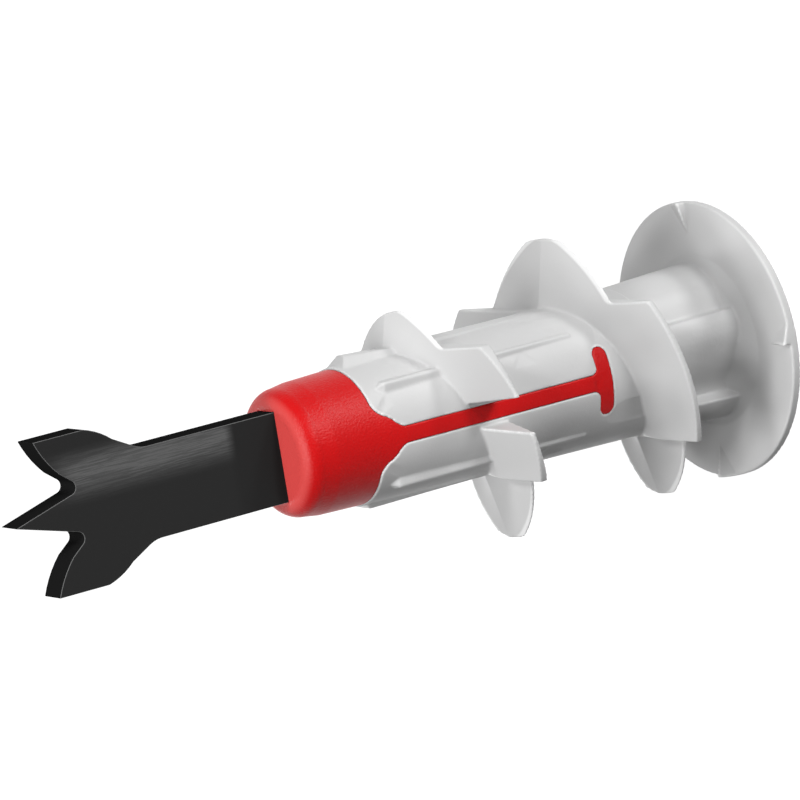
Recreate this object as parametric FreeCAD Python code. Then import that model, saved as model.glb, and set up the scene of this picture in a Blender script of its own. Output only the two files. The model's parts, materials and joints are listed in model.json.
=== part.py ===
"""Self-drilling plasterboard anchor: a ribbed sleeve, a two-strip core and a stamped drill blade.

All lengths are in millimetres and angles in degrees.
The anchor stands on its flange: Z runs from the flange's outer face to the blade's tip.
X is the blade's wide direction, and the mould's parting plane is Y = 0.
"""
import math
import os

import FreeCAD
import Part

os.makedirs("parts", exist_ok=True)

# Overall
TIP_Z = 44.0

# Flange
FLANGE_R = 7.6
FLANGE_T = 0.48
HUB_R = 4.75
HUB_MID_R = 3.85
HUB_MID_Z = 0.74
HUB_TOP_R = 3.0
HUB_TOP_Z = 1.22
TOOTH_H = 0.49
TOOTH_IN_R = 5.8
TOOTH_RISE = 11.0

# Sleeve wall
BODY_Z0 = 6.3
BODY_R0 = 4.03
SLEEVE_Z1 = 24.15
SLEEVE_R1 = 3.66
NECK_Z0 = 0.4
NECK_SHRINK = 0.94

# Bore, plug seat and cross recess
BORE_R = 1.8
PLUG_R = 2.1
PLUG_LENGTH = 2.65
RECESS_Z = 2.8
RECESS_REACH = 2.9
RECESS_REACH_IN = 2.1
RECESS_W = 1.15
RECESS_W_IN = 0.9
RECESS_CONE_R = 2.35

# Thread: one start, right hand, with flanks that lean in towards the crest
PITCH = 10.0
ROOT_Z_AT_0 = 20.92
ROOT_R = 3.85
ROOT_W = 1.86
CREST_R = 7.5
LEAN_FRONT = 0.25
LEAN_REAR = 0.17
THREAD_IN_R = 2.9
THREAD_START = 34.0
THREAD_END = -590.0
THREAD_STEP = 12.0
START_W = 1.51
START_LEAN = 0.30
START_RISE = 0.33
LEAD_W = 1.80
LEAD_LEAN = 0.24
LEAD_RISE = 0.26
FIN_FOOT = (3.90, 4.20)
FIN_MID = (5.65, 3.25)
FIN_TIP = (7.36, 1.45)
START_FOOT = (3.75, 3.38)
START_MID = (4.90, 2.42)
START_TIP = (5.80, 1.25)
START_CREST_R = 2.98
START_CREST_AT = (2.84, -0.79)
START_TOE = [(3.95, 1.97), (3.73, 2.21), (3.60, 2.62)]
START_TOE_END = 3.1
LEAD_CREST_R = 6.37
LEAD_CREST_AT = (-0.50, -0.80)

# Ribs along the sleeve
RIB_R = 4.0
RIB_BASE = 0.8
RIB_CREST = 0.16
RIB_ANGLE = 47.0
RIB_Z0 = 11.2
RIB_Z1 = 23.0
RIB_POINT_Z = 23.5
SPINE_Z0 = 10.6
SPINE_MID_Z = 20.0
SPINE_Z1 = 23.5
SPINE_POINT_Z = 23.95
TOP_SPINE = {"front_r": 4.17, "mid_r": 3.94, "rear_r": 3.87, "base": 2.1, "crest": 0.7}
LOW_SPINE = {"front_r": 3.90, "mid_r": 3.86, "rear_r": 3.85, "base": 2.9, "crest": 0.9}

# Core: nose and strips
NOSE_LENGTH = 4.3
NOSE_STEP = 0.07
NOSE_MID = 2.55
NOSE_MID_R = 3.51
NOSE_EDGE_R = 3.39
NOSE_ROUND = 0.95
STRIP_IN_R = 2.6
STRIP_HALF = 0.43
FLARE_LENGTH = 1.55
FLARE_STEP = (0.90, 0.93)
FLARE_CORNER = (1.12, 0.65)
FLARE_HALF = 1.78
BAR_Z0 = 9.6
BAR_Z1 = 10.45
BAR_HALF = 1.80
BAR_FILLET = 0.4

# Slot through the thread at each strip
GAP_ROOT_HALF = 0.70
GAP_CREST_HALF = 0.96

# Blade: half widths, and lengths measured back from the tip
BLADE_T = 1.6
SHANK_HALF = 2.35
POINT_HALF = 0.95
POINT_LENGTH = 3.38
NOTCH_X = 1.22
NOTCH_DEPTH = 3.64
NOTCH_OUT = (1.60, 3.50)
WING_IN = (2.10, 2.86)
WING_BULGE = (2.75, 2.34)
WING_TIP = (3.94, 1.72)
WING_HEEL = (3.95, 4.60)
HEEL_MID = (3.77, 5.12)
HEEL_END = (3.14, 6.13)
NECK_START = (2.53, 7.26)
NECK_MID = (2.39, 7.65)
SHANK_START = 8.10
TAIL_IN_NOSE = 3.45
TAIL_HOLE_R = 0.8
TAIL_HOLE_UP = 1.6


def vec(x, y, z):
    """A point or direction."""
    return FreeCAD.Vector(x, y, z)


def polar(radius, angle, z):
    """A point at a radius and an angle about the axis."""
    turn = math.radians(angle)
    return vec(radius * math.cos(turn), radius * math.sin(turn), z)


def outline(points):
    """A closed face from its corner points."""
    return Part.Face(Part.makePolygon(points + [points[0]]))


def arc(first, middle, last):
    """An arc edge through three points."""
    return Part.Arc(first, middle, last).toShape()


def line(first, last):
    """A straight edge."""
    return Part.makeLine(first, last)


def revolved(edges):
    """A solid turned about the axis from closed profile edges in the XZ plane."""
    face = Part.Face(Part.Wire(edges))
    return face.revolve(vec(0, 0, 0), vec(0, 0, 1), 360)


def turned(points):
    """A solid turned about the axis from (radius, z) corner points."""
    return outline([vec(r, 0, z) for r, z in points]).revolve(vec(0, 0, 0), vec(0, 0, 1), 360)


def block(x0, x1, y0, y1, z0, z1):
    """A box given by its limits."""
    return Part.makeBox(x1 - x0, y1 - y0, z1 - z0, vec(x0, y0, z0))


def hull_solid(faces):
    """A solid closed by flat faces, each given by its corner points."""
    shell = Part.makeShell([outline(points) for points in faces])
    shell.sewShape()
    solid = Part.makeSolid(shell)
    if solid.Volume < 0:
        solid.reverse()
    return solid


def wall_r(z):
    """The sleeve cone's radius at a height."""
    return BODY_R0 + (SLEEVE_R1 - BODY_R0) * (z - BODY_Z0) / (SLEEVE_Z1 - BODY_Z0)


# Neck section: two cams, each repeated half a turn away
CAM_TOP = [(44, 4.05), (27, 4.28), (10, 4.33), (-5, 4.22), (-16, 4.06), (-30, 3.83), (-43, 3.57), (-54.3, 3.34)]
CAM_FRONT = [(-60, 3.85), (-69, 3.90), (-79, 3.78), (-90, 3.54), (-104, 3.31), (-118, 3.16), (-130, 3.16), (-139, 3.36)]


def neck_wire(z, scale):
    """The neck's cam section at a height."""
    edges = []
    for half_turn in (0, -180):
        top = [polar(r * scale, a + half_turn, z) for a, r in CAM_TOP]
        front = [polar(r * scale, a + half_turn, z) for a, r in CAM_FRONT]
        next_corner = polar(CAM_TOP[0][1] * scale, CAM_TOP[0][0] + half_turn - 180, z)
        for points in (top, front):
            curve = Part.BSplineCurve()
            curve.interpolate(points)
            edges.append(curve.toShape())
        edges.insert(len(edges) - 1, line(top[-1], front[0]))
        edges.append(line(front[-1], next_corner))
    return Part.Wire(edges)


def make_neck():
    """The cam-shaped neck between the flange and the thread."""
    low = neck_wire(NECK_Z0, 1.0)
    high = neck_wire(BODY_Z0 + 0.1, NECK_SHRINK)
    return Part.makeLoft([low, high], True, True)


def make_flange():
    """The flange disc, the hub under it and the four ratchet teeth."""
    disc = Part.makeCylinder(FLANGE_R, FLANGE_T)
    low = 0.5 * FLANGE_T
    hub = turned([
        (0, low),
        (HUB_R, low),
        (HUB_R, FLANGE_T),
        (HUB_MID_R, HUB_MID_Z),
        (HUB_TOP_R, HUB_TOP_Z),
        (0, HUB_TOP_Z),
    ])
    shape = disc.fuse(hub)
    for quarter in range(4):
        step = quarter * 90.0
        out_r = FLANGE_R + 0.6
        slope = TOOTH_H / (FLANGE_R - TOOTH_IN_R)
        inner = polar(TOOTH_IN_R, step, FLANGE_T)
        inner_low = polar(TOOTH_IN_R, step, low)
        top = polar(out_r, step, FLANGE_T + slope * (out_r - TOOTH_IN_R))
        top_low = polar(out_r, step, low)
        end = polar(out_r, step + TOOTH_RISE, FLANGE_T)
        end_low = polar(out_r, step + TOOTH_RISE, low)
        tooth = hull_solid([
            [inner_low, top_low, end_low],
            [inner, top, end],
            [inner, inner_low, top_low, top],
            [inner, end, end_low, inner_low],
            [top, top_low, end_low, end],
        ])
        shape = shape.fuse(tooth.common(Part.makeCylinder(FLANGE_R, 2.0)))
    return shape


def root_z(angle):
    """The height of the front flank's root at an angle."""
    return ROOT_Z_AT_0 + PITCH * angle / 360.0


def make_thread():
    """The whole thread before the mould's cut-outs."""
    def front_z(angle, radius):
        return root_z(angle) - LEAN_FRONT * (radius - ROOT_R)

    def rear_z(angle, radius):
        return root_z(angle) - ROOT_W + LEAN_REAR * (radius - ROOT_R)

    def edge(radius, height):
        count = int(round((THREAD_START - THREAD_END) / THREAD_STEP))
        points = []
        for i in range(count + 1):
            angle = THREAD_END + (THREAD_START - THREAD_END) * i / count
            points.append(polar(radius, angle, height(angle, radius)))
        curve = Part.BSplineCurve()
        curve.interpolate(points)
        return curve.toShape()

    in_front = edge(THREAD_IN_R, front_z)
    in_rear = edge(THREAD_IN_R, rear_z)
    out_front = edge(CREST_R, front_z)
    out_rear = edge(CREST_R, rear_z)
    faces = [
        Part.makeRuledSurface(in_front, out_front, 1),
        Part.makeRuledSurface(in_rear, out_rear, 1),
        Part.makeRuledSurface(in_front, in_rear, 1),
        Part.makeRuledSurface(out_front, out_rear, 1),
    ]
    for angle in (THREAD_START, THREAD_END):
        faces.append(outline([
            polar(THREAD_IN_R, angle, front_z(angle, THREAD_IN_R)),
            polar(CREST_R, angle, front_z(angle, CREST_R)),
            polar(CREST_R, angle, rear_z(angle, CREST_R)),
            polar(THREAD_IN_R, angle, rear_z(angle, THREAD_IN_R)),
        ]))
    shell = Part.makeShell(faces)
    shell.sewShape()
    solid = Part.makeSolid(shell)
    if solid.Volume < 0:
        solid.reverse()
    return solid


def fin_plan(side, z0, z1, foot, mid, tip):
    """The outline of a side fin seen along the axis, as a prism. side is 1 for +X and -1 for -X."""
    def at(point, y_sign):
        return vec(point[0] * side, point[1] * y_sign, z0)

    root = (3.0, foot[1])
    crest = (CREST_R + 0.3, tip[1])
    edges = [
        line(at(root, -1), at(foot, -1)),
        arc(at(foot, -1), at(mid, -1), at(tip, -1)),
        line(at(tip, -1), at(crest, -1)),
        line(at(crest, -1), at(crest, 1)),
        line(at(crest, 1), at(tip, 1)),
        arc(at(tip, 1), at(mid, 1), at(foot, 1)),
        line(at(foot, 1), at(root, 1)),
        line(at(root, 1), at(root, -1)),
    ]
    return Part.Face(Part.Wire(edges)).extrude(vec(0, 0, z1 - z0))


def make_fin(thread, index):
    """One side fin: the thread between flat mould faces, so that it has a ridge at Y = 0."""
    side = 1 if index % 2 == 0 else -1
    z_root = root_z(-180.0 * index)
    width = ROOT_W if index else START_W
    lean = LEAN_REAR if index else START_LEAN
    plan = (FIN_FOOT, FIN_MID, FIN_TIP) if index else (START_FOOT, START_MID, START_TIP)
    x0 = 3.0
    x1 = CREST_R + 1.0
    fin = thread.common(fin_plan(side, z_root - 4.4, z_root + 2.6, *plan))
    front0 = z_root - LEAN_FRONT * (x0 - ROOT_R)
    front1 = z_root - LEAN_FRONT * (x1 - ROOT_R)
    rear0 = z_root - width + lean * (x0 - ROOT_R)
    rear1 = z_root - width + lean * (x1 - ROOT_R)
    above = outline([
        vec(x0 * side, 0, front0),
        vec(x1 * side, 0, front1),
        vec(x1 * side, 0, z_root + 4.0),
        vec(x0 * side, 0, z_root + 4.0),
    ]).extrude(vec(0, 9.0 * side, 0))
    below = outline([
        vec(x0 * side, 0, rear0),
        vec(x1 * side, 0, rear1),
        vec(x1 * side, 0, z_root - 6.0),
        vec(x0 * side, 0, z_root - 6.0),
    ])
    fin = fin.cut(above).cut(below.extrude(vec(0, -9.0 * side, 0)))
    if index == 0:
        fin = fin.cut(below.extrude(vec(0, 9.0, 9.0 * START_RISE)))
    return fin


def make_plate(thread, index):
    """One front or back plate of the thread, with the strip's gap where the strip passes."""
    side = -1 if index % 2 == 0 else 1
    z_root = root_z(-90.0 - 180.0 * index)
    half = wall_r(z_root) - 0.02
    y0 = 0.0 if side > 0 else -9.0
    plate = thread.common(block(-half, half, y0, y0 + 9.0, z_root - 5.2, z_root + 3.2))
    if index == 0:
        far_y = 9.0
        x0 = -4.5
        low = z_root - LEAD_W + LEAD_RISE * x0
        rear = outline([
            vec(x0, -THREAD_IN_R, low + LEAD_LEAN * (THREAD_IN_R - ROOT_R)),
            vec(x0, -far_y, low + LEAD_LEAN * (far_y - ROOT_R)),
            vec(x0, -far_y, low - 4.0),
            vec(x0, -THREAD_IN_R, low - 4.0),
        ]).extrude(vec(9.0, 0, 9.0 * LEAD_RISE))
        plate = plate.cut(rear)
    if index < 2:
        gap = outline([
            vec(-0.5 * GAP_ROOT_HALF, 2.4 * side, z_root - 6.0),
            vec(0.5 * GAP_ROOT_HALF, 2.4 * side, z_root - 6.0),
            vec(GAP_ROOT_HALF, 3.7 * side, z_root - 6.0),
            vec(GAP_CREST_HALF + 0.1, 8.3 * side, z_root - 6.0),
            vec(-GAP_CREST_HALF - 0.1, 8.3 * side, z_root - 6.0),
            vec(-GAP_ROOT_HALF, 3.7 * side, z_root - 6.0),
        ]).extrude(vec(0, 0, 10.0))
        plate = plate.cut(gap)
    return plate


def make_start_plan():
    """The first fin's outline seen along the axis: its smaller crest and the toe on the far side."""
    z0 = 12.0
    height = 14.0
    corner, middle, end = [vec(x, y, z0) for x, y in START_TOE]
    inner = vec(3.0, 1.0, z0)
    outer = vec(end.x, START_TOE_END, z0)
    back = vec(3.0, START_TOE_END, z0)
    edges = [
        line(inner, corner),
        arc(corner, middle, end),
        line(end, outer),
        line(outer, back),
        line(back, inner),
    ]
    toe = Part.Face(Part.Wire(edges)).extrude(vec(0, 0, height))
    crest = Part.makeCylinder(START_CREST_R, height, vec(*START_CREST_AT, z0))
    return crest.fuse(toe)


def make_flights():
    """The side fins and the front and back plates, with the smaller crest where the thread starts."""
    thread = make_thread()
    fins = [make_fin(thread, i) for i in range(4)]
    plates = [make_plate(thread, i) for i in range(3)]
    fins[0] = fins[0].common(make_start_plan())
    plates[0] = plates[0].common(Part.makeCylinder(LEAD_CREST_R, 14.0, vec(*LEAD_CREST_AT, 12.0)))
    return fins + plates


def make_rib(angle):
    """One thin rib along the sleeve, with a pointed front end."""
    foot_r = wall_r(RIB_Z1) - 0.35
    crest_half = 0.5 * RIB_CREST
    foot_half = 0.5 * RIB_BASE + 0.3
    corners = []
    for z in (RIB_Z0, RIB_Z1):
        corners.append([
            vec(foot_r, -foot_half, z),
            vec(RIB_R, -crest_half, z),
            vec(RIB_R, crest_half, z),
            vec(foot_r, foot_half, z),
        ])
    low, high = corners
    point = vec(wall_r(RIB_POINT_Z) - 0.02, 0, RIB_POINT_Z)
    foot_point = vec(foot_r, 0, RIB_POINT_Z + 0.35)
    rib = hull_solid([
        low,
        [low[0], low[1], high[1], high[0]],
        [low[1], low[2], high[2]],
        [low[1], high[2], high[1]],
        [low[2], low[3], high[3], high[2]],
        [low[3], low[0], high[0]],
        [low[3], high[0], high[3]],
        [high[1], high[2], point],
        [high[0], high[1], point],
        [high[2], high[3], point],
        [high[0], point, foot_point],
        [high[3], foot_point, point],
        [high[0], foot_point, high[3]],
    ])
    rib.rotate(vec(0, 0, 0), vec(0, 0, 1), angle)
    return rib


def make_spine(sizes, angle):
    """The wider flat rib on the parting plane, with a sloping front end."""
    half = 0.5 * sizes["base"]
    crest = 0.5 * sizes["crest"]
    top_r = sizes["front_r"]
    section = outline([
        vec(2.9, -half, SPINE_Z0),
        vec(3.35, -half, SPINE_Z0),
        vec(top_r, -crest, SPINE_Z0),
        vec(top_r, crest, SPINE_Z0),
        vec(3.35, half, SPINE_Z0),
        vec(2.9, half, SPINE_Z0),
    ]).extrude(vec(0, 0, SPINE_POINT_Z - SPINE_Z0))
    side = outline([
        vec(2.8, -3, SPINE_Z0),
        vec(sizes["rear_r"], -3, SPINE_Z0),
        vec(sizes["mid_r"], -3, SPINE_MID_Z),
        vec(top_r, -3, SPINE_Z1),
        vec(3.58, -3, SPINE_POINT_Z),
        vec(2.8, -3, SPINE_POINT_Z),
    ]).extrude(vec(0, 6, 0))
    spine = section.common(side)
    spine.rotate(vec(0, 0, 0), vec(0, 0, 1), angle)
    return spine


def make_panel(turn):
    """The shallow flat where the neck's front cam runs out into the sleeve's wall, as a cutter."""
    corner = polar(wall_r(9.6), -111, 9.6)
    along = polar(wall_r(8.0), -107, 8.0) - corner
    across = polar(wall_r(9.0), -129, 9.0) - corner
    out = along.cross(across)
    out.normalize()
    if out.dot(corner) < 0:
        out = out * -1.0
    slab = outline([
        corner - along + across * 2.0,
        corner - along - across * 0.6,
        corner + along * 1.6 - across * 0.6,
        corner + along * 1.6 + across * 2.0,
    ]).extrude(out * 0.6)
    wedge = outline([vec(0, 0, 6.0), polar(9.0, -129, 6.0), polar(9.0, -85, 6.0)]).extrude(vec(0, 0, 5.0))
    cutter = slab.common(wedge)
    cutter.rotate(vec(0, 0, 0), vec(0, 0, 1), turn)
    return cutter


def strip_plan():
    """The strip's outline seen from the front: bar, strip and the flare into the nose."""
    h = STRIP_HALF
    f = BAR_FILLET
    r = 0.5 * (BAR_Z1 - BAR_Z0)
    mid_z = 0.5 * (BAR_Z0 + BAR_Z1)
    k = math.sqrt(0.5)

    flare = SLEEVE_Z1 - FLARE_LENGTH
    step = FLARE_STEP
    corner = FLARE_CORNER

    def at(x, z):
        return vec(x, 0, z)

    step_point = at(step[0], SLEEVE_Z1 - step[1])
    corner_point = at(corner[0], SLEEVE_Z1 - corner[1])
    right = [
        line(at(0, BAR_Z0), at(BAR_HALF - r, BAR_Z0)),
        arc(at(BAR_HALF - r, BAR_Z0), at(BAR_HALF, mid_z), at(BAR_HALF - r, BAR_Z1)),
        line(at(BAR_HALF - r, BAR_Z1), at(h + f, BAR_Z1)),
        arc(at(h + f, BAR_Z1), at(h + f - f * k, BAR_Z1 + f - f * k), at(h, BAR_Z1 + f)),
        line(at(h, BAR_Z1 + f), at(h, flare)),
        arc(at(h, flare), at(0.63 * step[0] + 0.08, flare + 0.38), step_point),
        line(step_point, corner_point),
        arc(corner_point, at(corner[0] + 0.21, SLEEVE_Z1 - 0.29), at(FLARE_HALF, SLEEVE_Z1)),
    ]
    left = []
    for edge in right:
        left.append(edge.mirror(vec(0, 0, 0), vec(1, 0, 0)))
    top = line(at(FLARE_HALF, SLEEVE_Z1), at(-FLARE_HALF, SLEEVE_Z1))
    return Part.Face(Part.Wire(Part.__sortEdges__(right + left + [top])))


def make_strip_prism():
    """Both strips, cut square through the sleeve's front and back and open at the outside."""
    face = strip_plan()
    front = face.extrude(vec(0, -6, 0))
    back = face.extrude(vec(0, 6, 0))
    inner = Part.makeCylinder(STRIP_IN_R, 30.0)
    return front.cut(inner), back.cut(inner)


def make_recess():
    """The cross recess for the driver, with the screw's lead-in."""
    shape = turned([(0, -0.1), (RECESS_CONE_R, -0.1), (RECESS_CONE_R, 0), (BORE_R, RECESS_Z), (0, RECESS_Z)])
    for turn in (0, 90):
        wires = []
        for z, reach, width in ((0.0, RECESS_REACH, RECESS_W), (RECESS_Z, RECESS_REACH_IN, RECESS_W_IN)):
            wires.append(Part.makePolygon([
                vec(-reach, -0.5 * width, z),
                vec(reach, -0.5 * width, z),
                vec(reach, 0.5 * width, z),
                vec(-reach, 0.5 * width, z),
                vec(-reach, -0.5 * width, z),
            ]))
        wing = Part.makeLoft(wires, True, True)
        wing.rotate(vec(0, 0, 0), vec(0, 0, 1), turn)
        shape = shape.fuse(wing)
    return shape


def make_wall():
    """The sleeve's cone, from the thread's end to the nose."""
    return turned([(0, BODY_Z0), (BODY_R0, BODY_Z0), (SLEEVE_R1, SLEEVE_Z1), (0, SLEEVE_Z1)])


def make_sleeve(strips):
    """The white moulding."""
    shape = make_wall().cut(make_panel(0)).cut(make_panel(180))
    shape = shape.fuse([make_neck(), make_flange()])
    ribs = [make_rib(a) for a in (RIB_ANGLE, 180 - RIB_ANGLE, 180 + RIB_ANGLE, -RIB_ANGLE)]
    spines = [make_spine(TOP_SPINE, 0), make_spine(LOW_SPINE, 180)]
    shape = shape.fuse(ribs + spines)
    pieces = make_flights()
    shape = shape.fuse(pieces[0].fuse(pieces[1:]))
    bore = Part.makeCylinder(BORE_R, SLEEVE_Z1 - PLUG_LENGTH)
    shape = shape.cut(bore).cut(make_plug())
    shape = shape.cut(make_recess())
    for strip in strips:
        shape = shape.cut(strip)
    return shape.removeSplitter()


def make_blade():
    """The stamped blade, symmetric about X = 0."""
    nose_z = SLEEVE_Z1 + NOSE_LENGTH
    tail_z = nose_z - TAIL_IN_NOSE

    def at(x, back):
        return vec(x, 0, TIP_Z - back)

    right = [
        line(at(0, 0), at(POINT_HALF, POINT_LENGTH)),
        arc(at(POINT_HALF, POINT_LENGTH), at(NOTCH_X, NOTCH_DEPTH), at(*NOTCH_OUT)),
        line(at(*NOTCH_OUT), at(*WING_IN)),
        arc(at(*WING_IN), at(*WING_BULGE), at(*WING_TIP)),
        line(at(*WING_TIP), at(*WING_HEEL)),
        arc(at(*WING_HEEL), at(*HEEL_MID), at(*HEEL_END)),
        line(at(*HEEL_END), at(*NECK_START)),
        arc(at(*NECK_START), at(*NECK_MID), at(SHANK_HALF, SHANK_START)),
        line(at(SHANK_HALF, SHANK_START), vec(SHANK_HALF, 0, tail_z)),
        line(vec(SHANK_HALF, 0, tail_z), vec(0, 0, tail_z)),
    ]
    left = [edge.mirror(vec(0, 0, 0), vec(1, 0, 0)) for edge in right]
    face = Part.Face(Part.Wire(Part.__sortEdges__(right + left)))
    face.translate(vec(0, -0.5 * BLADE_T, 0))
    blade = face.extrude(vec(0, BLADE_T, 0))
    hole_at = vec(0, -BLADE_T, tail_z + TAIL_HOLE_UP)
    hole = Part.makeCylinder(TAIL_HOLE_R, 2.0 * BLADE_T, hole_at, vec(0, 1, 0))
    return blade.cut(hole)


def make_nose():
    """The red nose and the plug that closes the bore."""
    k = math.sqrt(0.5)
    end_z = SLEEVE_Z1 + NOSE_LENGTH
    mid_z = SLEEVE_Z1 + NOSE_MID
    start_r = SLEEVE_R1 - NOSE_STEP
    cx = NOSE_EDGE_R - NOSE_ROUND
    cz = end_z - NOSE_ROUND
    nose = revolved([
        line(vec(0, 0, SLEEVE_Z1), vec(start_r, 0, SLEEVE_Z1)),
        line(vec(start_r, 0, SLEEVE_Z1), vec(NOSE_MID_R, 0, mid_z)),
        line(vec(NOSE_MID_R, 0, mid_z), vec(NOSE_EDGE_R, 0, cz)),
        arc(vec(NOSE_EDGE_R, 0, cz), vec(cx + NOSE_ROUND * k, 0, cz + NOSE_ROUND * k), vec(cx, 0, end_z)),
        line(vec(cx, 0, end_z), vec(0, 0, end_z)),
        line(vec(0, 0, end_z), vec(0, 0, SLEEVE_Z1)),
    ])
    return nose.fuse(make_plug())


def make_plug():
    """The stepped end of the bore, which the core fills."""
    return Part.makeCylinder(PLUG_R, PLUG_LENGTH, vec(0, 0, SLEEVE_Z1 - PLUG_LENGTH))


def make_core(strips, blade):
    """The red moulding: nose, plug and both strips, moulded round the blade's tail."""
    flare = SLEEVE_Z1 - FLARE_LENGTH
    start_r = SLEEVE_R1 - NOSE_STEP
    wall = turned([(0, 0), (wall_r(0), 0), (wall_r(flare), flare), (start_r, SLEEVE_Z1), (0, SLEEVE_Z1)])
    shape = make_nose()
    for strip in strips:
        shape = shape.fuse(strip.common(wall))
    return shape.cut(blade).removeSplitter()


def save(shape, name):
    """Write one solid, after checking that it is one."""
    solids = shape.Solids
    if len(solids) != 1 or not solids[0].isValid():
        print("WARNING", name, "solids", len(solids), "valid", [s.isValid() for s in solids])
    solid = max(solids, key=lambda s: s.Volume)
    solid.exportStep("parts/" + name + ".step")
    box = solid.BoundBox
    print(name, "volume %.2f" % solid.Volume, "faces", len(solid.Faces), "z %.2f %.2f" % (box.ZMin, box.ZMax))


strip_prisms = make_strip_prism()
blade_solid = make_blade()
core_solid = make_core(strip_prisms, blade_solid)
sleeve_solid = make_sleeve(strip_prisms)
save(sleeve_solid, "sleeve")
save(core_solid, "core")
save(blade_solid, "blade")
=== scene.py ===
"""Self-drilling plasterboard anchor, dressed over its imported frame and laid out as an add-on.

The anchor stands on its flange, with the drill tip up. Lengths are in metres, except
where a name ends in _MM.
"""
import json
import math

import bpy
import numpy
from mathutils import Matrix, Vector

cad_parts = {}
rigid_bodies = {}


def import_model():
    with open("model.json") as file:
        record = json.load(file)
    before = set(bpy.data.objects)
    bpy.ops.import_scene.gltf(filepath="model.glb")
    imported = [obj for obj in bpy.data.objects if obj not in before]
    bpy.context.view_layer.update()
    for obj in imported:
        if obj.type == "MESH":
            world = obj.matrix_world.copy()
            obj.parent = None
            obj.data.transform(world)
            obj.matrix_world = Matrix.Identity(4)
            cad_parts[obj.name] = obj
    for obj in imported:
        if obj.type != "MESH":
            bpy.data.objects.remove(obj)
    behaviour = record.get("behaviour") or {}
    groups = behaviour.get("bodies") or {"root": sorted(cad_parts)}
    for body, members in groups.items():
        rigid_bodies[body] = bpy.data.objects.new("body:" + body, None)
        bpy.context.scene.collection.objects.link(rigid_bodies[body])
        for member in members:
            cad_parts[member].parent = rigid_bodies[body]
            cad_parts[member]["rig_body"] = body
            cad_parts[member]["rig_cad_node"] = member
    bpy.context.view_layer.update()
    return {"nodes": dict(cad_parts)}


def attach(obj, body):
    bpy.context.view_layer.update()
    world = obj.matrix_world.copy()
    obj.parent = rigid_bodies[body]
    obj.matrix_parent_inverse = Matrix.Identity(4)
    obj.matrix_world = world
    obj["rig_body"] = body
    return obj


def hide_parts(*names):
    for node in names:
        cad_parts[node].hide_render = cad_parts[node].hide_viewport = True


bl_info = {
    "name": "Plasterboard Anchor",
    "version": (1, 0, 0),
    "blender": (4, 5, 0),
    "location": "3D View > Sidebar > Anchor",
    "description": "Finishes a self-drilling plasterboard anchor and its studio",
    "category": "Object",
}

BODY = "root"
MM = 0.001

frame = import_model()


# Sizes and colours


class AnchorMouldings(bpy.types.PropertyGroup):
    """The two plastic mouldings: how soft their edges are, and their colours."""

    sleeve_voxel: bpy.props.FloatProperty(
        name="Sleeve detail",
        description="Smallest detail that the sleeve's mesh keeps",
        default=0.070 * MM, min=0.04 * MM, max=0.4 * MM, precision=6, unit="LENGTH",
    )
    core_voxel: bpy.props.FloatProperty(
        name="Core detail",
        description="Smallest detail that the core's mesh keeps",
        default=0.05 * MM, min=0.03 * MM, max=0.4 * MM, precision=6, unit="LENGTH",
    )
    soften_passes: bpy.props.IntProperty(
        name="Softening",
        description="Smoothing passes that round the mouldings' edges",
        default=2, min=0, max=20,
    )
    nylon: bpy.props.FloatVectorProperty(
        name="Sleeve colour", description="Colour of the sleeve's nylon",
        default=(0.63, 0.63, 0.63), min=0, max=1, subtype="COLOR",
    )
    # Painted highlight: a lighter nylon colour along thin edges, standing for the light that catches them
    nylon_edge_highlight: bpy.props.FloatVectorProperty(
        name="Sleeve edge colour",
        description="Colour of the nylon where an edge is thin and light soaks in",
        default=(0.88, 0.88, 0.88), min=0, max=1, subtype="COLOR",
    )
    core: bpy.props.FloatVectorProperty(
        name="Core colour", description="Colour of the core's plastic",
        default=(0.60, 0.004, 0.005), min=0, max=1, subtype="COLOR",
    )
    # Painted highlight: a paler red on the forward-facing front, standing for the light that falls on it
    core_front_highlight: bpy.props.FloatVectorProperty(
        name="Core front colour", description="Colour of the core's scuffed front, round the blade",
        default=(0.74, 0.075, 0.07), min=0, max=1, subtype="COLOR",
    )


class AnchorBlade(bpy.types.PropertyGroup):
    """The stamped drill blade."""

    edge_round: bpy.props.FloatProperty(
        name="Edge round",
        description="Round that tumbling leaves along the stamped edges",
        default=0.09 * MM, min=0.01 * MM, max=0.3 * MM, precision=6, unit="LENGTH",
    )
    finish: bpy.props.FloatVectorProperty(
        name="Blade colour", description="Colour of the black finish",
        default=(0.024, 0.024, 0.024), min=0, max=1, subtype="COLOR",
    )
    # The blade's colour is darker on the shank, next to the core, than on its head
    shank_share: bpy.props.FloatProperty(
        name="Shank tone", description="How bright the shank's finish is beside the ground part's",
        default=0.88, min=0, max=1, subtype="FACTOR",
    )
    # Painted highlight: a lighter colour in a band along the blade's faces, standing for a reflection
    band_highlight_colour: bpy.props.FloatVectorProperty(
        name="Burnished colour", description="Colour of the brushed band along the faces",
        default=(0.13, 0.13, 0.13), min=0, max=1, subtype="COLOR",
    )
    # Painted highlight: a lighter colour along the blade's edges, standing for the light that catches them
    blade_edge_highlight: bpy.props.FloatVectorProperty(
        name="Worn edge colour", description="Colour of the edges, where the finish has worn through",
        default=(0.15, 0.15, 0.15), min=0, max=1, subtype="COLOR",
    )
    cut_side: bpy.props.FloatVectorProperty(
        name="Cut side colour", description="Colour of the sides that the stamp has cut",
        default=(0.012, 0.012, 0.012), min=0, max=1, subtype="COLOR",
    )


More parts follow.
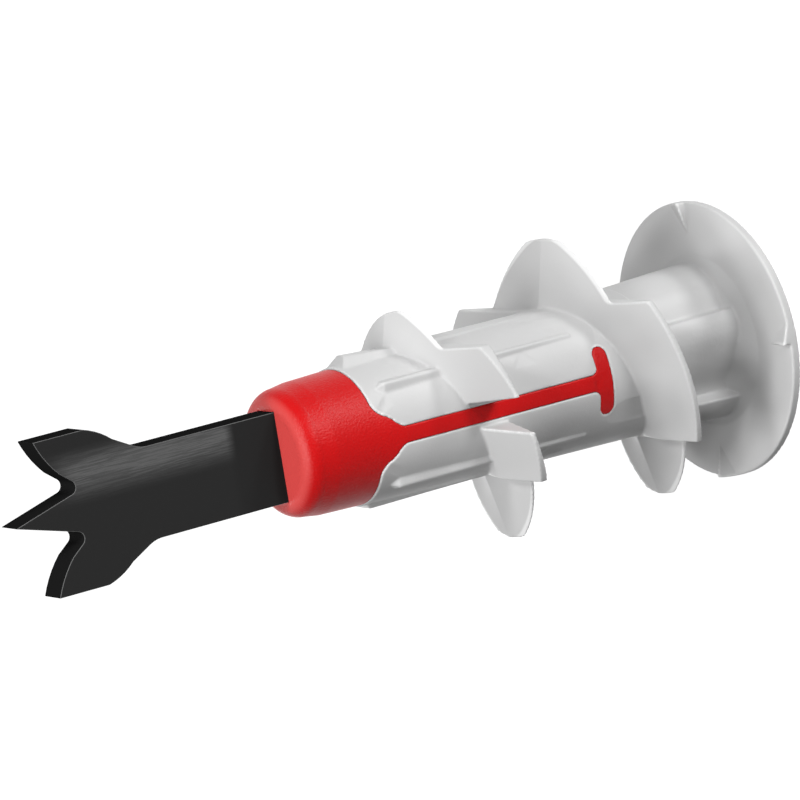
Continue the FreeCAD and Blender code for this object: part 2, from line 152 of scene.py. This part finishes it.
class AnchorStudio(bpy.types.PropertyGroup):
    """The floor, the lamps and the camera."""

    floor_size: bpy.props.FloatProperty(
        name="Floor", description="Side of the square floor",
        default=3.0, min=0.5, max=10, unit="LENGTH",
    )
    floor_tone: bpy.props.FloatProperty(
        name="Floor tone", description="How much of the lamps' light the floor gives back to the anchor",
        default=0.04, min=0, max=1, subtype="FACTOR",
    )
    floor_shade: bpy.props.FloatProperty(
        name="Floor shade",
        description="How much of the floor's white is lost where the anchor's shadow falls",
        default=0.24, min=0, max=1, subtype="FACTOR",
    )
    floor_glow: bpy.props.FloatProperty(
        name="Floor glow", description="The floor's own white, as it is seen",
        default=0.93, min=0, max=1, subtype="FACTOR",
    )
    lamp_power: bpy.props.FloatProperty(
        name="Lamp power", description="Power of a lamp whose share is 1, in watts",
        default=2.45, min=0, max=20,
    )
    fill: bpy.props.FloatProperty(
        name="Fill", description="Strength of the even light from all round",
        default=0.0, min=0, max=2,
    )


# Node materials


class Wire:
    """One output of a node. Arithmetic on it adds Math nodes."""

    def __init__(self, paint, socket):
        self.paint = paint
        self.socket = socket

    def math(self, operation, first, second):
        """A Math node on two values, which may be numbers or wires."""
        return self.paint.add("ShaderNodeMath", {"operation": operation}, {0: first, 1: second})

    def __add__(self, other):
        return self.math("ADD", self, other)

    def __radd__(self, other):
        return self.math("ADD", other, self)

    def __sub__(self, other):
        return self.math("SUBTRACT", self, other)

    def __rsub__(self, other):
        return self.math("SUBTRACT", other, self)

    def __mul__(self, other):
        return self.math("MULTIPLY", self, other)

    def __rmul__(self, other):
        return self.math("MULTIPLY", other, self)


class Paint:
    """A node material, with one way to add a node to it."""

    def __init__(self, name):
        self.material = bpy.data.materials.new(name)
        self.material.use_nodes = True
        self.tree = self.material.node_tree
        self.tree.nodes.clear()

    @classmethod
    def over(cls, tree):
        """The same tools over another tree of nodes, such as the world's."""
        paint = cls.__new__(cls)
        paint.tree = tree
        tree.nodes.clear()
        return paint

    def add(self, kind, settings, inputs, output=0):
        """Add a node from its settings and its sockets' values or wires, and give the outputs wanted."""
        node = self.tree.nodes.new(kind)
        for name, value in settings.items():
            setattr(node, name, value)
        for name, value in inputs.items():
            if isinstance(value, Wire):
                self.tree.links.new(value.socket, node.inputs[name])
            else:
                node.inputs[name].default_value = value
        if isinstance(output, tuple):
            return [Wire(self, node.outputs[name]) for name in output]
        return Wire(self, node.outputs[output])

    def coordinates(self, scale=(1, 1, 1)):
        """Object coordinates, stretched by a scale."""
        where = self.add("ShaderNodeTexCoord", {}, {}, output="Object")
        return self.add("ShaderNodeMapping", {}, {"Vector": where, "Scale": scale})

    def noise(self, where, scale, detail=2.0, roughness=0.5):
        """A noise value at a scale in features per metre."""
        return self.add("ShaderNodeTexNoise", {}, {
            "Vector": where, "Scale": scale, "Detail": detail, "Roughness": roughness,
        })

    def bump(self, height, distance):
        """Turn a height into a normal."""
        return self.add("ShaderNodeBump", {}, {"Height": height, "Distance": distance})

    def parts(self, vector):
        """A vector's X, Y and Z."""
        return self.add("ShaderNodeSeparateXYZ", {}, {"Vector": vector}, output=("X", "Y", "Z"))

    def facing(self):
        """How much the surface faces along X, Y and Z."""
        return self.parts(self.add("ShaderNodeTexCoord", {}, {}, output="Normal"))

    def thinness(self, reach, samples=8):
        """How near the surface's own far side is, from 0 in the solid to 1 on a knife edge."""
        settings = {"inside": True, "only_local": True, "samples": samples}
        return 1 - self.add("ShaderNodeAmbientOcclusion", settings, {"Distance": reach}, output="AO")

    def ramp(self, value, low, high):
        """A smooth step from 0 at the low value to 1 at the high one."""
        return self.add("ShaderNodeMapRange", {"interpolation_type": "SMOOTHSTEP"}, {
            "Value": value, "From Min": low, "From Max": high,
        })

    def blend(self, share, first, second):
        """The first colour, with a share of the second."""
        return self.add("ShaderNodeMix", {"data_type": "RGBA"}, {0: share, 6: first, 7: second}, output=2)

    def mix(self, share, first, second):
        """The first shader, with a share of the second."""
        return self.add("ShaderNodeMixShader", {}, {0: share, 1: first, 2: second})

    def finish(self, surface):
        """Wire a shader to the material's output."""
        self.add("ShaderNodeOutputMaterial", {}, {"Surface": surface}, output=())
        return self.material


def opaque(colour):
    """A colour with its alpha."""
    return (*colour, 1)


def shade(colour, share):
    """A darker tone of a colour."""
    return opaque([share * value for value in colour])


def grey(tone):
    """A neutral colour with its alpha."""
    return (tone, tone, tone, 1)


# Marks on the pieces. Grain is in features per metre, bump heights and reaches are in metres, and
# a pair gives where a mark starts and where it is full.
NYLON_GRAIN = 7000
NYLON_GRAIN_HEIGHT = 0.000006
THIN_REACH = 0.00022
# Painted highlight along the sleeve's thin edges
SLEEVE_EDGE_HIGHLIGHT = (0.12, 0.50)
PLASTIC_GRAIN = 9000
PLASTIC_GRAIN_HEIGHT = 0.000028
# Painted highlight on the core's forward-facing front
FRONT_FACING = (0.60, 0.97)
STREAK_GRAIN = (14000, 14000, 450)
STREAK_HEIGHT = 0.000002
STREAK_LINES = (0.42, 0.60)
PATCH_GRAIN = (500, 500, 160)
FACE_FACING = (0.93, 0.99)
# Painted highlight along the blade's edges
EDGE_FACING = (0.30, 0.50)
EDGE_TO_FACE_FACING = (0.86, 0.97)
SIDE_TO_EDGE_FACING = (0.10, 0.35)
# Height where the blade's darker shank gives way to its head, where the painted band starts
HEAD_START_Z_MM = (30.9, 31.6)
# Painted highlight in a band along the blade's faces
BAND_RISE_X_MM = (0.2, 1.9)
BAND_FALL_X_MM = (1.9, 3.3)
BAND_END_Z_MM = (40.0, 42.5)


def satin_nylon(look):
    """The sleeve's white nylon: satin, with a very fine grain, and a painted highlight along its thin
    edges.
    """
    paint = Paint("satin_nylon")
    grain = paint.noise(paint.coordinates(), NYLON_GRAIN, detail=3)
    # A highlight painted into the colour along the sleeve's thin edges
    sleeve_edge_highlight = paint.ramp(paint.thinness(THIN_REACH), *SLEEVE_EDGE_HIGHLIGHT)
    shader = paint.add("ShaderNodeBsdfPrincipled", {}, {
        "Base Color": paint.blend(sleeve_edge_highlight, opaque(look.nylon), opaque(look.nylon_edge_highlight)),
        "Roughness": 0.38 + 0.05 * grain,
        "IOR": 1.50,
        "Specular IOR Level": 0.2,
        "Normal": paint.bump(grain, NYLON_GRAIN_HEIGHT),
    })
    return paint.finish(shader)


def grained_plastic(look):
    """The core's red plastic, with a leathery grain from the mould and a painted highlight on its front.
    """
    paint = Paint("grained_plastic")
    grain = paint.noise(paint.coordinates(), PLASTIC_GRAIN, detail=2, roughness=0.55)
    forwards = paint.facing()[2]
    # A highlight painted into the colour where the core faces forwards
    highlight_painted = paint.ramp(forwards, *FRONT_FACING)
    shader = paint.add("ShaderNodeBsdfPrincipled", {}, {
        "Base Color": paint.blend(highlight_painted, opaque(look.core), opaque(look.core_front_highlight)),
        "Roughness": 0.34 + 0.05 * grain,
        "IOR": 1.50,
        "Specular IOR Level": 0.18,
        "Normal": paint.bump(grain, PLASTIC_GRAIN_HEIGHT),
    })
    return paint.finish(shader)


def head_and_highlight_band(paint, streaks, flatness):
    """Where the blade's head starts past the shank, and where a highlight is painted on its faces, in a
    band along one side.
    """
    along_x, _, along_z = paint.parts(paint.coordinates((1 / MM, 1 / MM, 1 / MM)))
    patches = paint.noise(paint.coordinates(PATCH_GRAIN), 1.0, detail=2)
    flat_face = paint.ramp(flatness, *FACE_FACING)
    blade_head = paint.ramp(along_z, *HEAD_START_Z_MM)
    across = paint.ramp(along_x, *BAND_RISE_X_MM) * (1 - paint.ramp(along_x, *BAND_FALL_X_MM))
    before_tip = 1 - paint.ramp(along_z, *BAND_END_Z_MM)
    strokes = (0.45 + 0.9 * patches) * (0.68 + 0.55 * paint.ramp(streaks, *STREAK_LINES))
    return blade_head, flat_face * blade_head * across * before_tip * strokes


def blacked_steel(look):
    """The blade's black finish: matt cut sides, a painted highlight along the edges, and a painted
    highlight in a band along the brushed faces.
    """
    paint = Paint("blacked_steel")
    streaks = paint.noise(paint.coordinates(STREAK_GRAIN), 1.0, detail=4, roughness=0.75)
    sideways = paint.facing()[1]
    flatness = paint.add("ShaderNodeMath", {"operation": "ABSOLUTE"}, {0: sideways})
    # A highlight painted into the colour along the edges between the faces and the cut sides
    blade_edge_highlight_mask = paint.ramp(flatness, *EDGE_FACING) * (1 - paint.ramp(flatness, *EDGE_TO_FACE_FACING))
    blade_head, painted_band_highlight = head_and_highlight_band(paint, streaks, flatness)
    # Darker on the shank, next to the core
    plain = paint.blend(blade_head, shade(look.finish, look.shank_share), opaque(look.finish))
    blade_edge_highlight = paint.blend(blade_edge_highlight_mask, plain, opaque(look.blade_edge_highlight))
    face = paint.add("ShaderNodeBsdfPrincipled", {}, {
        # A highlight painted into the colour in the band along the faces
        "Base Color": paint.blend(painted_band_highlight, blade_edge_highlight, opaque(look.band_highlight_colour)),
        "Roughness": 0.42 + 0.2 * streaks,
        "IOR": 1.45,
        "Specular IOR Level": 0.06,
        "Normal": paint.bump(streaks, STREAK_HEIGHT),
    })
    side = paint.add("ShaderNodeBsdfPrincipled", {}, {
        "Base Color": opaque(look.cut_side),
        "Roughness": 0.8,
        "Specular IOR Level": 0.0,
    })
    return paint.finish(paint.mix(paint.ramp(flatness, *SIDE_TO_EDGE_FACING), side, face))


# Mesh work

# Turned shapes of the mouldings as (radius, height) paths, in millimetres
WALL_PATH = ((4.03, 6.3), (3.66, 24.15))
CREST_PATH = ((7.5, 4.0), (7.5, 23.0))
RIM_PATH = ((7.6, 0.0), (7.6, 1.0))
HUB_PATH = ((4.75, 0.48), (3.85, 0.74), (3.0, 1.22))
BORE_PATH = ((1.8, 2.0), (1.8, 24.0))
NOSE_PATH = ((3.59, 24.15), (3.51, 26.70), (3.39, 27.50))
NOSE_ROUND_MM = 0.95
NOSE_ROUND_STEPS = 24
WALL_FOOT_Z_MM = 6.4
STRIP_END_Z_MM = 9.0
STRIP_FLARE_Z_MM = 22.6

# How the nodes' meshes are refined and finished
MERGE_MM = 0.0001
FACET_CUTS = 2
FACET_REACH_MM = 0.022
AXIS_CORE_R_MM = 1.0
SLEEVE_TRIANGLES = 190000
CORE_TRIANGLES = 120000
FLAT_ANGLE = 1
STAMPED_EDGE_ANGLE = 40
STAMPED_EDGE_SEGMENTS = 3


def on_wall(height):
    """The point of the sleeve wall's path at a height, in millimetres."""
    (low_r, low_z), (high_r, high_z) = WALL_PATH
    return low_r + (high_r - low_r) * (height - low_z) / (high_z - low_z), height


def core_paths():
    """The core's outside, from the strips' ends to the round at the nose's front."""
    edge_r, edge_z = NOSE_PATH[-1]
    path = [on_wall(STRIP_END_Z_MM), on_wall(STRIP_FLARE_Z_MM), *NOSE_PATH]
    for step in range(1, NOSE_ROUND_STEPS + 1):
        turn = math.radians(90 * step / NOSE_ROUND_STEPS)
        path.append((
            edge_r - NOSE_ROUND_MM + NOSE_ROUND_MM * math.cos(turn),
            edge_z + NOSE_ROUND_MM * math.sin(turn),
        ))
    return [path]


def sleeve_paths():
    """The sleeve's wall, thread crest, flange rim, hub and bore."""
    wall = (on_wall(WALL_FOOT_Z_MM), WALL_PATH[1])
    return [wall, CREST_PATH, RIM_PATH, HUB_PATH, BORE_PATH]


def pick_only(piece):
    """Select one object and make it the active one."""
    for other in bpy.context.scene.objects:
        other.select_set(other == piece)
    bpy.context.view_layer.objects.active = piece


def copy_of_node(node, name):
    """A free copy of a CAD node, scaled up a thousand times for mesh work, with its doubles merged."""
    source = frame["nodes"][node]
    pick_only(source)
    bpy.ops.object.duplicate()
    piece = bpy.context.active_object
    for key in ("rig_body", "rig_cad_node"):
        del piece[key]
    piece.parent = None
    piece.name = name
    piece.data.name = name
    piece.data.materials.clear()
    piece.scale = (1 / MM, 1 / MM, 1 / MM)
    bpy.ops.object.transform_apply(location=False, rotation=False, scale=True)
    bpy.ops.object.mode_set(mode="EDIT")
    bpy.ops.mesh.select_all(action="SELECT")
    bpy.ops.mesh.customdata_custom_splitnormals_clear()
    bpy.ops.mesh.remove_doubles(threshold=MERGE_MM)
    bpy.ops.object.mode_set(mode="OBJECT")
    return piece


def apply_modifier(piece, kind, **settings):
    """Add a modifier, set it and apply it."""
    pick_only(piece)
    modifier = piece.modifiers.new(kind.lower(), kind)
    for name, value in settings.items():
        setattr(modifier, name, value)
    bpy.ops.object.modifier_apply(modifier=modifier.name)


def nearest_on_path(points, path):
    """The nearest points of a path to some (radius, height) points, and how far they are."""
    nearest = points.copy()
    gaps = numpy.full(len(points), numpy.inf)
    for first, last in zip(path, path[1:]):
        first = numpy.array(first)
        step = numpy.array(last) - first
        share = numpy.clip((points - first) @ step / (step @ step), 0, 1)
        there = first + share[:, None] * step
        gap = numpy.hypot(*(points - there).T)
        closer = gap < gaps
        nearest[closer] = there[closer]
        gaps[closer] = gap[closer]
    return nearest, gaps


def true_up(piece, paths):
    """Cut a copied node's facets finer and move the new points out to the turned shapes they stand for."""
    pick_only(piece)
    bpy.ops.object.mode_set(mode="EDIT")
    bpy.ops.mesh.select_all(action="SELECT")
    bpy.ops.mesh.subdivide(number_cuts=FACET_CUTS)
    bpy.ops.object.mode_set(mode="OBJECT")
    flat = numpy.empty(len(piece.data.vertices) * 3)
    piece.data.vertices.foreach_get("co", flat)
    places = flat.reshape(-1, 3)
    for path in paths:
        radii = numpy.hypot(places[:, 0], places[:, 1])
        nearest, gaps = nearest_on_path(numpy.stack([radii, places[:, 2]], axis=1), path)
        near = (gaps < FACET_REACH_MM) & (radii > AXIS_CORE_R_MM)
        places[near, :2] *= (nearest[near, 0] / radii[near])[:, None]
        places[near, 2] = nearest[near, 1]
    piece.data.vertices.foreach_set("co", places.ravel())
    piece.data.update()


def soften(piece, voxel, passes, most_triangles):
    """Give every edge and inner corner of a piece a small round, and keep its mesh within a size."""
    apply_modifier(piece, "REMESH", mode="VOXEL", voxel_size=voxel / MM, adaptivity=0.0)
    apply_modifier(piece, "SMOOTH", factor=0.5, iterations=passes)
    share = most_triangles / (2.0 * len(piece.data.polygons))
    if share < 1.0:
        apply_modifier(piece, "TRIANGULATE")
        apply_modifier(piece, "DECIMATE", ratio=share)
    pick_only(piece)
    bpy.ops.object.shade_smooth()


def place(piece, node, material):
    """Scale a finished piece back, dress it, and let it stand for its CAD node."""
    pick_only(piece)
    piece.scale = (MM, MM, MM)
    bpy.ops.object.transform_apply(location=False, rotation=False, scale=True)
    piece.data.materials.clear()
    piece.data.materials.append(material)
    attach(piece, BODY)
    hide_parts(node)
    return piece


# Operators


class ANCHOR_OT_sleeve(bpy.types.Operator):
    """Finish the white sleeve."""

    bl_idname = "anchor.sleeve"
    bl_label = "Sleeve"

    def execute(self, context):
        look = context.scene.anchor_mouldings
        piece = copy_of_node("sleeve", "sleeve_moulding")
        true_up(piece, sleeve_paths())
        soften(piece, look.sleeve_voxel, look.soften_passes, SLEEVE_TRIANGLES)
        place(piece, "sleeve", satin_nylon(look))
        return {"FINISHED"}


class ANCHOR_OT_core(bpy.types.Operator):
    """Finish the red core."""

    bl_idname = "anchor.core"
    bl_label = "Core"

    def execute(self, context):
        look = context.scene.anchor_mouldings
        piece = copy_of_node("core", "core_moulding")
        true_up(piece, core_paths())
        soften(piece, look.core_voxel, look.soften_passes, CORE_TRIANGLES)
        place(piece, "core", grained_plastic(look))
        # The white sleeve beside it stays neutral
        piece.visible_diffuse = False
        return {"FINISHED"}


class ANCHOR_OT_blade(bpy.types.Operator):
    """Finish the drill blade."""

    bl_idname = "anchor.blade"
    bl_label = "Blade"

    def execute(self, context):
        look = context.scene.anchor_blade
        piece = copy_of_node("blade", "drill_blade")
        bpy.ops.object.mode_set(mode="EDIT")
        bpy.ops.mesh.select_all(action="SELECT")
        bpy.ops.mesh.dissolve_limited(angle_limit=math.radians(FLAT_ANGLE))
        bpy.ops.object.mode_set(mode="OBJECT")
        apply_modifier(
            piece, "BEVEL", width=look.edge_round / MM, segments=STAMPED_EDGE_SEGMENTS,
            limit_method="ANGLE", angle_limit=math.radians(STAMPED_EDGE_ANGLE), harden_normals=False,
        )
        pick_only(piece)
        bpy.ops.object.shade_smooth()
        apply_modifier(piece, "WEIGHTED_NORMAL", mode="FACE_AREA", weight=50, keep_sharp=False)
        place(piece, "blade", blacked_steel(look))
        return {"FINISHED"}


CAMERA_PLACE = (0.0369531, -0.1916193, 0.1420822)
CAMERA_TURN = (-22.5288, 55.0087, -106.2638)
CAMERA_LENS_MM = 199.646
CAMERA_SENSOR_MM = 36.0
CAMERA_CLIP = (0.01, 20.0)
FLOOR_DROP = 0.00001

# Lamps: name, angle round the anchor, angle above the floor, share of the lamp power.
# The floor is a light table, so the lamps below it shine through.
LAMP_AIM_Z = 0.022
LAMP_REACH = 0.6
LAMP_SIZE = 0.12
LAMPS = (
    ("front", 307, 6, 0.302),
    ("left", 230, 54, 0.156),
    ("side", 330, 54, 0.439),
    ("top_left", 220, 72, 0.171),
    ("top_front", 260, 72, 0.215),
    ("top_right", 300, 72, 0.236),
    ("top", 270, 88, 0.234),
    ("table_front", 310, -12, 0.503),
    ("table_side", 330, -32, 0.451),
    ("back", 101, 30, 0.14),
    ("table_back", 110, -20, 0.15),
)


def seen_directly(paint):
    """1 for what the camera, a reflection or a clear piece shows, and 0 for what lights the anchor."""
    kinds = ("Is Camera Ray", "Is Glossy Ray", "Is Transmission Ray")
    camera, glossy, clear = paint.add("ShaderNodeLightPath", {}, {}, output=kinds)
    return camera.math("MAXIMUM", camera.math("MAXIMUM", camera, glossy), clear)


def studio_white(look):
    """A floor that looks white, keeps the shadow, and gives a little light back to the anchor."""
    paint = Paint("studio_white")
    faint = paint.add("ShaderNodeBsdfDiffuse", {}, {"Color": grey(look.floor_tone)})
    pale = paint.add("ShaderNodeBsdfDiffuse", {}, {"Color": grey(look.floor_shade)})
    glow = paint.add("ShaderNodeEmission", {}, {"Color": grey(1), "Strength": look.floor_glow})
    lit = paint.add("ShaderNodeAddShader", {}, {0: pale, 1: glow})
    return paint.finish(paint.mix(seen_directly(paint), faint, lit))


class ANCHOR_OT_stage(bpy.types.Operator):
    """Lay the floor and set the lamps and the camera."""

    bl_idname = "anchor.stage"
    bl_label = "Stage"

    def execute(self, context):
        look = context.scene.anchor_studio
        self.lay_floor(look)
        self.fill_world(look)
        self.set_lamps(look)
        self.set_camera()
        context.scene.view_settings.view_transform = "Standard"
        return {"FINISHED"}

    def lay_floor(self, look):
        """A light table: white to look at, and clear to the lamps below it."""
        bpy.ops.object.select_all(action="DESELECT")
        bpy.ops.mesh.primitive_plane_add(size=look.floor_size, location=(0, 0, -FLOOR_DROP))
        floor = bpy.context.active_object
        floor.name = "floor"
        bpy.ops.object.transform_apply(location=True)
        floor.data.materials.append(studio_white(look))
        floor.visible_shadow = False

    def fill_world(self, look):
        """White all round to look at, and dark as a light apart from the fill."""
        world = bpy.data.worlds.new("studio")
        bpy.context.scene.world = world
        world.use_nodes = True
        paint = Paint.over(world.node_tree)
        fill = paint.add("ShaderNodeBackground", {}, {"Color": grey(1), "Strength": look.fill})
        white = paint.add("ShaderNodeBackground", {}, {"Color": grey(1), "Strength": 1.0})
        sky = paint.mix(seen_directly(paint), fill, white)
        paint.add("ShaderNodeOutputWorld", {}, {"Surface": sky}, output=())

    def set_lamps(self, look):
        """Round soft lamps on a sphere about the anchor's middle, which they all face."""
        middle = Vector((0, 0, LAMP_AIM_Z))
        for name, round_angle, height_angle, share in LAMPS:
            turn, rise = math.radians(round_angle), math.radians(height_angle)
            level = math.cos(rise)
            way = Vector((math.cos(turn) * level, math.sin(turn) * level, math.sin(rise)))
            bpy.ops.object.light_add(type="AREA", location=middle + way * LAMP_REACH)
            lamp = bpy.context.active_object
            lamp.name = "lamp_" + name
            lamp.rotation_euler = way.to_track_quat("Z", "Y").to_euler()
            lamp.visible_camera = False
            lamp.data.shape = "DISK"
            lamp.data.size = LAMP_SIZE
            lamp.data.energy = share * look.lamp_power

    def set_camera(self):
        """A long lens from above and in front, rolled so that the drill tip points to the left."""
        turn = [math.radians(angle) for angle in CAMERA_TURN]
        bpy.ops.object.camera_add(location=CAMERA_PLACE, rotation=turn)
        camera = bpy.context.active_object
        camera.name = "camera"
        camera.data.sensor_width = CAMERA_SENSOR_MM
        camera.data.lens = CAMERA_LENS_MM
        camera.data.clip_start, camera.data.clip_end = CAMERA_CLIP
        bpy.context.scene.camera = camera


class ANCHOR_PT_panel(bpy.types.Panel):
    """The anchor's pieces, in the 3D view's sidebar."""

    bl_idname = "ANCHOR_PT_panel"
    bl_label = "Plasterboard Anchor"
    bl_space_type = "VIEW_3D"
    bl_region_type = "UI"
    bl_category = "Anchor"

    def draw(self, context):
        layout = self.layout
        for group_name in GROUPS:
            group = getattr(context.scene, group_name)
            column = layout.column(align=True)
            for name in group.__annotations__:
                column.prop(group, name)
        for step in STEPS:
            layout.operator(step.bl_idname)


STEPS = (ANCHOR_OT_stage, ANCHOR_OT_sleeve, ANCHOR_OT_core, ANCHOR_OT_blade)
GROUPS = {
    "anchor_mouldings": AnchorMouldings,
    "anchor_blade": AnchorBlade,
    "anchor_studio": AnchorStudio,
}


def register():
    """Register the groups, the operators and the panel."""
    for name, group in GROUPS.items():
        bpy.utils.register_class(group)
        setattr(bpy.types.Scene, name, bpy.props.PointerProperty(type=group))
    for step in STEPS:
        bpy.utils.register_class(step)
    bpy.utils.register_class(ANCHOR_PT_panel)


def unregister():
    """Take them away again."""
    bpy.utils.unregister_class(ANCHOR_PT_panel)
    for step in reversed(STEPS):
        bpy.utils.unregister_class(step)
    for name, group in GROUPS.items():
        delattr(bpy.types.Scene, name)
        bpy.utils.unregister_class(group)


def main():
    """Build the scene."""
    register()
    bpy.ops.anchor.stage()
    bpy.ops.anchor.sleeve()
    bpy.ops.anchor.core()
    bpy.ops.anchor.blade()


if __name__ == "__main__":
    main()
